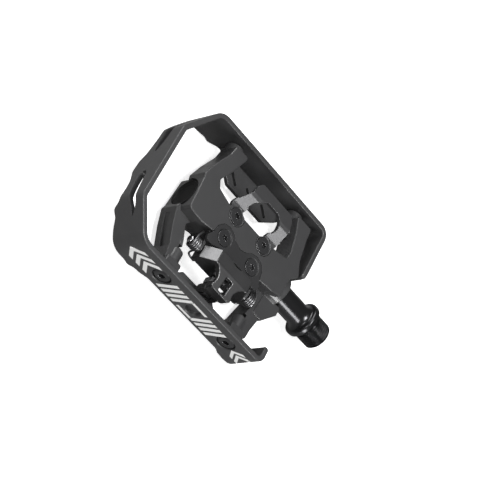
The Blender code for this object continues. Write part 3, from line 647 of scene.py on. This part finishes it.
# height of the bar's lower edge against the distance along the bar
LOWER_EDGE = [
    (0.0, -7.6), (8.0, -9.9), (13.0, -10.8), (18.4, -10.4), (20.4, -8.8), (69.0, -8.7), (72.6, -10.3),
    (76.6, -10.8), (79.0, -12.8), (82.0, -11.6), (92.0, -11.7), (97.0, -11.2), (101.5, -9.8), (105.6, -10.8),
    (108.4, -7.2), (115.4, -6.6), (119.6, -7.0), (125.5, -9.5), (131.5, -9.1), (136.0, -6.9), (144.0, -5.4),
    (149.0, -4.8), (152.5, -6.6), (157.0, -9.3), (161.0, -11.6), (172.0, -11.6), (178.0, -12.6),
    (181.0, -12.1), (184.0, -11.4), (186.0, -12.6), (188.5, -11.0), (190.5, -9.5), (196.0, -8.7),
    (236.0, -8.7), (240.0, -10.3), (246.0, -10.6), (254.0, -9.8), (276.0, -8.8), (290.0, -7.6),
]
# the two drop-shaped openings in the outboard bar, as (y, z)
OPENINGS = [
    [(-29.6, 1.7), (-27.0, 1.0), (-23.7, 0.0), (-18.7, -1.6), (-14.0, -2.3), (-9.9, -2.5), (-8.2, -1.7),
     (-7.8, -0.3), (-8.2, 1.0), (-9.8, 2.0), (-15.0, 2.5), (-19.7, 3.3), (-24.3, 3.9), (-27.4, 3.1)],
    [(3.9, -1.2), (6.0, -2.2), (9.7, -2.8), (14.0, -2.7), (20.5, -2.5), (24.4, -1.6), (25.4, -0.2),
     (23.8, 1.1), (20.5, 1.8), (16.5, 2.0), (12.0, 1.6), (8.4, 0.7), (5.0, -0.5)],
]


def edge_at(distance):
    """The lower edge's height between its given points."""
    for (s0, z0), (s1, z1) in zip(LOWER_EDGE, LOWER_EDGE[1:]):
        if distance <= s1:
            return z0 + (z1 - z0) * max(0.0, distance - s0) / (s1 - s0)
    return LOWER_EDGE[-1][1]


def smooth_edge(distance):
    """The lower edge with its corners rounded off."""
    return sum(edge_at(distance + shift) for shift in (-1.0, -0.5, 0.0, 0.5, 1.0)) / 5


def bent_path(steps=24):
    """The cage's outer face in plan, its corners drawn as arcs."""
    fine = []
    for k, (x, y, radius) in enumerate(CAGE_PATH):
        spot = Vector((x, y))
        if k in (0, len(CAGE_PATH) - 1):
            fine.append(spot)
            continue
        before = (spot - Vector(CAGE_PATH[k - 1][:2])).normalized()
        after = (Vector(CAGE_PATH[k + 1][:2]) - spot).normalized()
        bend = before.angle(after)
        start = spot - before * radius * math.tan(bend / 2)
        centre = start + Vector((before.y, -before.x)) * radius
        for step in range(steps + 1):
            fine.append(centre + Matrix.Rotation(-bend * step / steps, 2) @ (start - centre))
    return fine


def walk_path(gap):
    """Points every gap along the cage's outer face, as (distance, point, direction), and its length."""
    fine = bent_path()
    walked = [0.0]
    for a, b in zip(fine, fine[1:]):
        walked.append(walked[-1] + (b - a).length)
    total = walked[-1]
    pieces = round(total / gap)
    index = 0
    stops = []
    for k in range(pieces + 1):
        s = total * k / pieces
        while index < len(fine) - 2 and walked[index + 1] < s:
            index += 1
        share = (s - walked[index]) / max(walked[index + 1] - walked[index], 1e-9)
        stops.append((s, fine[index].lerp(fine[index + 1], min(1.0, share))))
    lines = []
    for k, (s, spot) in enumerate(stops):
        ahead = stops[min(k + 2, pieces)][1]
        behind = stops[max(k - 2, 0)][1]
        lines.append((s, spot, (ahead - behind).normalized()))
    return lines, total


def band(gap=0.9, r=0.5, end_round=3.0, end_bevel=0.9):
    """The cage's flat bar, with corners of radius r, swept along the path. Its lower edge is toothed."""
    lines, total = walk_path(gap)
    rings = []
    for s, spot, along in lines:
        inward = Vector((along.y, -along.x))
        rest = min(s, total - s)
        low, high = smooth_edge(s), CAGE_TOP
        if s > total / 2 and rest < end_round:
            rise = end_round - math.sqrt(max(0.0, end_round**2 - (end_round - rest) ** 2))
            low, high = low + rise, high - 0.5 * rise
        inset = 0.45 * max(0.0, 1 - rest / end_bevel)
        inner = CAGE_THICK - r
        corners = []
        rounds = ((r, high - r, 90), (r, low + r, 180), (inner, low + r, 270), (inner, high - r, 0))
        for cx, cz, start in rounds:
            for step in range(4):
                turn = math.radians(start + 30 * step)
                corners.append((cx + r * math.cos(turn), cz + r * math.sin(turn)))
        middle = (CAGE_THICK / 2, (low + high) / 2)
        ring = []
        for depth, z in corners:
            if inset:
                depth = depth + math.copysign(min(inset, abs(middle[0] - depth)), middle[0] - depth)
                z = z + math.copysign(inset, middle[1] - z)
            ring.append((*(spot + inward * depth), z))
        rings.append(ring)
    return loft(rings)


def opening(outline):
    """One drop-shaped opening, its outline smoothed between the given points."""
    closed = [Vector((*spot, 0)) for spot in outline[-1:] + outline + outline[:2]]
    return prism([(spot.x, spot.y) for spot in through(closed, 4)], -60.0, -46.4, axis="X")


def flange(side):
    """A rail's inward lower shelf with three slanted slots."""
    root = RAIL_Y - CAGE_THICK + 1.0
    if side > 0:
        half = [(12.8, 24.9), (20.0, 31.0), (24.5, 36.6), (24.5, root)]
    else:
        half = [(10.4, 24.9), (14.0, 28.2), (19.4, 33.2), (22.4, 36.6), (22.4, root)]
    shape = [(-x, y) for x, y in reversed(half)] + half
    shape = fillet([(x, side * y) for x, y in shape], 1.0, 3)
    shelf = prism(shape, -8.5, -6.3, edge=0.35)
    along, across = Vector((0.77, -0.64)), Vector((0.64, 0.77))
    spread, slot_y = (1.0, 29.5) if side > 0 else (0.8, 30.0)
    slots = []
    for x in (-11.5, -0.5, 10.5):
        middle = Vector((spread * x, slot_y))
        corners = ((-3.3, -0.8), (3.3, -0.8), (3.3, 0.8), (-3.3, 0.8))
        ends = [middle + along * a + across * b for a, b in corners]
        ends = fillet([(p.x, side * p.y) for p in ends], 0.6, 3)
        slots.append(prism(ends, -9.5, -5.3))
    return cut(shelf, *slots)


def make_cage():
    """The bar and its flanges, with four sunk bolt seats, the heel rail's middle hole and the openings."""
    solid = join(band(), flange(-1), flange(1))
    cuts = []
    for side in (-1, 1):
        for x in (-BOLT_X, BOLT_X):
            sink = RAIL_Y - 1.6
            steps = [(0, 34.0), (2.65, 34.0), (2.65, sink), (4.6, sink), (4.6, RAIL_Y - 0.35),
                     (5.1, RAIL_Y + 0.15), (5.1, 42.0), (0, 42.0)]
            cuts.append(lathe([(r, side * h) for r, h in steps], "Y", (x, 0, 0), 48))
    back = RAIL_Y - CAGE_THICK
    steps = [(0, -42.0), (4.3, -42.0), (4.3, -RAIL_Y - 0.1), (3.7, -RAIL_Y + 0.5), (3.7, -back - 0.4),
             (4.2, -back + 0.1), (4.2, -34.0), (0, -34.0)]
    cuts.append(lathe(steps, "Y", (0, 0, -1.0), 48))
    cuts += [opening(outline) for outline in OPENINGS]
    finish(cut(solid, *cuts), "cage_bar", cage_black, "platform", "cage", slot="cage_black", sharp=40)


def chevron(x, z, width, tall, thick):
    """An angular mark that points along -X."""
    half = tall / 2
    return [(x, z), (x + width, z - half), (x + width + thick, z - half), (x + thick, z),
            (x + width + thick, z + half), (x + width, z + half)]


def bar(x, z, thick, tall, lean):
    """A slanted bar whose top leans towards +X."""
    half, low, high = tall / 2, x - lean, x + lean
    return [(low, z - half), (low + thick, z - half), (high + thick, z + half), (high, z + half)]


def make_marks():
    """Generic painted bars and chevrons on the heel-side rail."""
    shapes = [chevron(-42.6 + 4.6 * k, -1.2, 4.6, 10.4, 2.6) for k in range(3)]
    for start in (-17.8, 5.4):
        shapes += [bar(start + 3.3 * k, -1.3, 2.0, 10.6, 1.7) for k in range(4)]
    shapes += [bar(-4.6, 3.6, 9.4, 1.4, 0.2), bar(-4.9, -6.2, 9.4, 1.4, 0.2)]
    shapes += [chevron(27.4 + 3.4 * k, -0.4, 3.6, 8.6, 2.0) for k in range(2)]
    work = bmesh.new()
    face, skin = -RAIL_Y - 0.035, -RAIL_Y + 0.25
    for shape in shapes:
        front = [work.verts.new((x, face, z)) for x, z in shape]
        back = [work.verts.new((x, skin, z)) for x, z in shape]
        work.faces.new(front)
        work.faces.new(list(reversed(back)))
        for k in range(len(shape)):
            after = (k + 1) % len(shape)
            work.faces.new([front[k], back[k], back[after], front[after]])
    finish(build("helper", work), "rail_marks", mark_white, "platform", slot="cage_black", weighted=False)


def make_cage_bolts():
    """Button-head bolts through the rails into the arms."""
    head = RAIL_Y - 1.5
    profile = [(0, 23.4), (2.0, 23.4), (2.35, 23.9), (2.35, head), (4.2, head), (4.2, head + 0.4),
               (3.9, head + 0.9), (3.2, head + 1.25), (2.3, head + 1.3), (2.0, head + 1.15), (0, head + 1.15)]
    corners = (("toe_outer", -1, 1), ("toe_crank", 1, 1), ("heel_outer", -1, -1), ("heel_crank", 1, -1))
    for name, x, side in corners:
        solid = lathe([(r, side * h) for r, h in profile], "Y", (x * BOLT_X, 0, 0), 48)
        ends = sorted((side * (head - 0.9), side * (head + 3)))
        socket = [(a + x * BOLT_X, b) for a, b in polygon(1.75, 6)]
        solid = cut(solid, prism(socket, *ends, axis="Y"))
        finish(solid, "button_bolt_" + name, screw_black, "platform", "cage_bolt_" + name, slot="bolt_black")


# ---------------------------------------------------------------- cleat mechanism


def screw_room(x, y):
    """A countersunk hole for a plate screw."""
    profile = [(0, 5.0), (2.05, 5.0), (2.05, 6.9), (4.15, 8.45), (4.15, 8.55), (4.4, 8.82), (4.4, 10.0),
               (0, 10.0)]
    return lathe(profile, axis="Z", centre=(x, y, 0), segments=48)


def make_toe_claw():
    """A bent plate: the side view gives its two bends, and the plan gives its fork and ears."""
    low, high = SKIN, BODY_TOP
    lower = [(-2.0, low), (9.9, low), (15.0, 14.1), (16.2, 14.5), (22.8, 14.5)]
    upper = [(22.8, 16.4), (16.0, 16.4), (14.6, 15.8), (9.6, high), (-2.0, high)]
    bent = prism(fillet(lower + upper, [0, 2.5, 2.0, 2.0, 0, 0, 2.0, 2.0, 2.5, 0], 4), -17.0, 17.0, axis="X")
    outer = [(15.4, 10.6), (13.2, 15.8), (12.2, 20.4), (10.4, 22.6)]
    inner = [(8.8, 9.6), (8.8, 10.6), (9.0, 13.2), (6.6, 15.4), (3.7, 17.7)]
    plan = [(15.4, 9.6)] + outer + [(-x, y) for x, y in reversed(outer)] + [(-15.4, 9.6)]
    plan += [(-x, y) for x, y in inner] + list(reversed(inner))
    outside, inside = [0, 1.2, 1.5, 1.5, 1.6], [0, 0, 1.2, 1.2, 1.2]
    radii = outside + outside[::-1] + inside + inside[::-1]
    mask = prism(fillet(plan, radii, 4), 0.0, 20.0)
    for side in (-1, 1):
        mask = join(mask, prism(toe_ear(side, 4.7), 0.0, 20.0))
    solid = common(bent, mask)
    solid = cut(solid, *[screw_room(side * TOE_SCREW[0], TOE_SCREW[1]) for side in (-1, 1)])
    solid = bevelled(solid, 0.28, 42)
    finish(solid, "toe_claw_bent", toe_steel, "platform", "toe_claw", slot="claw_steel")


def make_heel_plate():
    solid = prism(heel_outline(), SKIN, BODY_TOP, edge=0.2, edge_low=0.1, segments=2)
    solid = cut(solid, *[screw_room(side * HEEL_SCREW[0], HEEL_SCREW[1]) for side in (-1, 1)])
    finish(solid, "heel_plate_cut", plate_black, "platform", "heel_plate", slot="plate_steel")


def make_plate_screws():
    """Countersunk six-lobe screws, two for each plate."""
    for kind, (x, y), phase in (("toe", TOE_SCREW, 0.2), ("heel", HEEL_SCREW, 0.35)):
        for side, end in ((-1, "outer"), (1, "crank")):
            profile = [(0, 4.6), (1.3, 4.6), (1.6, 5.0), (1.6, 6.9), (3.5, 8.2), (3.72, 8.4), (3.68, 8.62),
                       (3.4, 8.75), (0, 8.75)]
            solid = lathe(profile, "Z", (side * x, y, 0), 56)
            socket = [(a + side * x, b + y) for a, b in six_lobe(1.75, 1.15, phase + 0.3 * side)]
            solid = cut(solid, prism(socket, 7.1, 10.0))
            name, node = f"flat_screw_{kind}_{end}", f"{kind}_screw_{end}"
            finish(solid, name, screw_black, "platform", node, slot="bolt_black")


def tail_block(levels, steps=48, squareness=0.6):
    """A block lofted along -Y through rounded sections of (y, half width, top, bottom)."""
    sections = []
    for y, half, top, low in levels:
        middle, tall = (top + low) / 2, (top - low) / 2
        ring = []
        for step in range(steps):
            turn = 2 * math.pi * step / steps
            c, s = math.cos(turn), math.sin(turn)
            x = half * math.copysign(abs(c) ** squareness, c)
            ring.append((x, y, middle + tall * math.copysign(abs(s) ** squareness, s)))
        sections.append(ring)
    return loft(sections)


def claw_tail():
    """The flared lip and the narrower housing under it."""
    upper = ((-27.9, 5.4, 11.9, 5.6), (-29.8, 6.2, 11.7, 5.9), (-31.5, 5.5, 11.2, 6.2))
    lower = ((-27.9, 4.9, 7.4, -1.8), (-29.4, 5.1, 7.4, -2.2), (-31.3, 4.7, 7.4, -2.0))
    return join(tail_block(upper), tail_block(lower))


def claw_fairing():
    """The waisted top plate that slopes down from the jaw to the tail."""
    half = [(-10.4, -21.5), (-8.4, -22.9), (-6.6, -24.6), (-5.7, -26.6), (-5.7, -28.2), (-6.2, -29.8),
            (-6.35, -30.8), (-5.5, -31.5)]
    plan = fillet(half + [(-x, y) for x, y in reversed(half)], 1.2, 3)
    slope, start, high, deep, draft = 0.19, -21.6, 13.65, 2.4, 0.97
    upper = [Vector((x, y, high - slope * max(0.0, start - y))) for x, y in plan]
    lower = [Vector((spot.x * draft, spot.y, spot.z - deep)) for spot in upper]
    return loft([upper, lower])


def make_heel_claw():
    """The sprung jaw: an arched shell on the hinge pins, with its back wall, fairing and tail."""
    outer = [(-15.3, 1.0), (-15.3, 6.2), (-10.6, 13.6), (10.6, 13.6), (15.3, 6.2), (15.3, 1.0)]
    inner = [(13.4, 1.0), (13.4, 5.6), (9.6, 11.7), (-9.6, 11.7), (-13.4, 5.6), (-13.4, 1.0)]
    shell = prism(outer + inner, -22.2, -15.3, axis="Y")
    back = [(-15.2, 1.1), (15.2, 1.1), (15.2, 6.1), (10.6, 13.2), (-10.6, 13.2), (-15.2, 6.1)]
    bridge = prism(back, -22.1, -20.9, axis="Y")
    solid = join(shell, bridge, claw_fairing(), claw_tail())
    cuts = [
        rod(7.8, 9.6, 16.0, axis="Z", centre=(0, -8.5, 0), segments=128),
        prism(fillet([(-2.1, -30.5), (2.1, -30.5), (2.1, -23.5), (-2.1, -23.5)], 0.5, 3), 5.6, 16.0),
        rod(1.95, -33, -20, axis="Y", centre=(0, 0, TENSION_Z), segments=32),
        rod(2.9, -33, -30.1, axis="Y", centre=(0, 0, TENSION_Z), segments=40),
    ]
    for side in (-1, 1):
        cuts.append(rod(1.34, *sorted((side * 12, side * 17)), centre=(0, PIN_Y, PIN_Z), segments=32))
    solid = cast(cut(solid, *cuts), 0.22, 3, 0.5)
    finish(solid, "heel_claw_cast", claw_steel, "claw_unit", "heel_claw", slot="claw_steel", sharp=None,
           weighted=False)


def make_pivot_pins():
    profile = [(0, 12.4), (0.9, 12.4), (1.2, 12.8), (1.2, 21.8), (1.9, 21.8), (1.9, 22.2), (1.5, 22.6),
               (0, 22.7)]
    for side, end in ((-1, "outer"), (1, "crank")):
        solid = lathe([(r, side * h) for r, h in profile], "X", (0, PIN_Y, PIN_Z), 40)
        finish(solid, "hinge_pin_" + end, bright_steel, "platform", "pivot_pin_" + end, slot="bright_steel")


def spring_path():
    """The crank-side spring's wire: a leg on the body, the coil round the pin and a leg behind the claw."""
    radius, turns, steps = 2.85, 3.25, 90
    first, last = 21.1, 17.6
    rest = [(18.9, -10.7, 5.4), (19.9, -12.6, 6.2), (20.8, -14.6, 6.68), (21.05, -16.6, 6.74)]
    fixed = smooth_path(rest, 5)
    coil = []
    for k in range(steps + 1):
        turn = math.radians(90) + 2 * math.pi * turns * k / steps
        x = first + (last - first) * k / steps
        coil.append(Vector((x, PIN_Y + radius * math.cos(turn), PIN_Z + radius * math.sin(turn))))
    leg = smooth_path([(17.55, -20.15, 3.1), (17.5, -20.4, 1.6), (17.0, -20.9, 0.6), (15.8, -21.3, 0.4),
                       (14.6, -21.5, 0.42), (13.0, -21.6, 0.45)], 5)
    return fixed[:-1] + coil + leg


def make_springs():
    """Torsion springs, each with its moving leg behind the claw."""
    wire = 0.5
    for side, end in ((-1, "outer"), (1, "crank")):
        path = [Vector((side * spot.x, spot.y, spot.z)) for spot in spring_path()]
        piece = finish(tube(path, wire), "spring_wire_" + end, spring_steel, None, "torsion_spring_" + end,
                       slot="bright_steel", sharp=None, weighted=False)
        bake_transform(piece)


def make_tension():
    """The cleat tension's screw and the nut that travels on it."""
    profile = [(0, -31.5), (2.2, -31.5), (2.6, -31.1), (2.6, -30.4), (1.85, -30.4), (1.85, -20.6),
               (1.4, -20.2), (0, -20.2)]
    solid = lathe(profile, "Y", (0, 0, TENSION_Z), 40, 0.15)
    socket = [(x, z + TENSION_Z) for x, z in polygon(1.5, 6)]
    solid = cut(solid, prism(socket, -33.0, -30.9, axis="Y"))
    finish(solid, "tension_screw_turned", screw_black, "screw_unit", "tension_screw", slot="bolt_black")
    outline = [(-2.6, -0.8), (2.6, -0.8), (3.0, 0.2), (3.0, 4.2), (1.7, 5.2), (1.7, 9.6), (-1.7, 9.6),
               (-1.7, 5.2), (-3.0, 4.2), (-3.0, 0.2)]
    nut = prism(fillet(outline, 0.4, 3), -25.3, -22.6, axis="Y", edge=0.2, segments=2)
    nut = cut(nut, rod(1.98, -28, -22, axis="Y", centre=(0, 0, TENSION_Z), segments=32))
    finish(nut, "tension_nut_block", bright_steel, "nut_unit", "tension_nut", slot="steel")


make_spindle()
make_body()
make_end_cap()
make_seal()
make_cage()
make_marks()
make_cage_bolts()
make_toe_claw()
make_heel_plate()
make_plate_screws()
make_heel_claw()
make_pivot_pins()
make_springs()
make_tension()

# pieces hidden inside the body keep their CAD shape
HIDDEN = {
    "lock_nut": plain_steel, "lock_washer": plain_steel, "bearing_inner_race": bright_steel,
    "bearing_outer_race": bright_steel, "bearing_balls": bright_steel, "inboard_bushing": polymer,
}
for node, look in HIDDEN.items():
    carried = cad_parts[node]
    carried.data.materials.clear()
    carried.data.materials.append(look)

# ---------------------------------------------------------------- studio


def for_camera(tree, socket, seen, otherwise):
    """Gives a socket one value for what the camera sees and another for the light it casts."""
    path = tree.nodes.new("ShaderNodeLightPath")
    span = tree.nodes.new("ShaderNodeMapRange")
    span.inputs["To Min"].default_value = otherwise
    span.inputs["To Max"].default_value = seen
    tree.links.new(path.outputs["Is Camera Ray"], span.inputs["Value"])
    tree.links.new(span.outputs["Result"], socket)


def make_floor():
    """A white sheet under the cage, which the camera sees brighter than the pedal does."""
    work = bmesh.new()
    bmesh.ops.create_grid(work, x_segments=2, y_segments=2, size=3.0)
    bmesh.ops.translate(work, vec=(0, 0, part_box("cage")[0].z), verts=work.verts)
    mesh = bpy.data.meshes.new("floor")
    work.to_mesh(mesh)
    work.free()
    floor = bpy.data.objects.new("floor", mesh)
    bpy.context.scene.collection.objects.link(floor)
    pale = bpy.data.materials.new("pale_floor")
    pale.use_nodes = True
    shader = pale.node_tree.nodes["Principled BSDF"]
    shader.inputs["Roughness"].default_value = 0.9
    shader.inputs["Specular IOR Level"].default_value = 0.1
    shader.inputs["Emission Color"].default_value = (1, 1, 1, 1)
    for_camera(pale.node_tree, shader.inputs["Base Color"], 0.85, 0.2)
    for_camera(pale.node_tree, shader.inputs["Emission Strength"], 0.74, 0.03)
    floor.data.materials.append(pale)


def make_world():
    world = bpy.data.worlds.new("studio")
    bpy.context.scene.world = world
    world.use_nodes = True
    background = world.node_tree.nodes["Background"]
    background.inputs["Color"].default_value = (1, 1, 1, 1)
    for_camera(world.node_tree, background.inputs["Strength"], 1.0, 0.09)


def softbox(name, direction, distance, size, power):
    """An area light that faces the pedal from a direction."""
    light = bpy.data.lights.new(name, "AREA")
    light.shape = "RECTANGLE"
    light.size, light.size_y = size
    light.energy = power
    made = bpy.data.objects.new(name, light)
    bpy.context.scene.collection.objects.link(made)
    aim = Vector(direction).normalized()
    made.location = aim * distance
    made.rotation_euler = aim.to_track_quat("Z", "Y").to_euler()


def make_camera():
    """A long lens above the heel rail's outboard end, looking down at the pedal."""
    camera = bpy.data.objects.new("camera", bpy.data.cameras.new("camera"))
    bpy.context.scene.collection.objects.link(camera)
    camera.location = (-0.33383, -0.37134, 0.51638 + AXIS)
    camera.rotation_euler = (0.1578, -0.7663, 0.6041)
    camera.data.lens = 116.65
    camera.data.sensor_width = 36.0
    camera.data.clip_start = 0.01
    bpy.context.scene.camera = camera


make_floor()
make_world()
softbox("side_box", (-0.83, 0.51, 0.16), 0.6, (0.42, 0.3), 2.6)
softbox("key_box", (-0.15, -0.1, 0.98), 0.8, (0.35, 0.35), 8.0)
softbox("glint_box", (-0.69, -0.45, 0.44), 0.6, (0.12, 0.12), 0.6)
softbox("front_box", (0.46, -0.83, 0.3), 0.7, (0.3, 0.22), 2.6)
make_camera()
bpy.context.scene.view_settings.view_transform = "Standard"
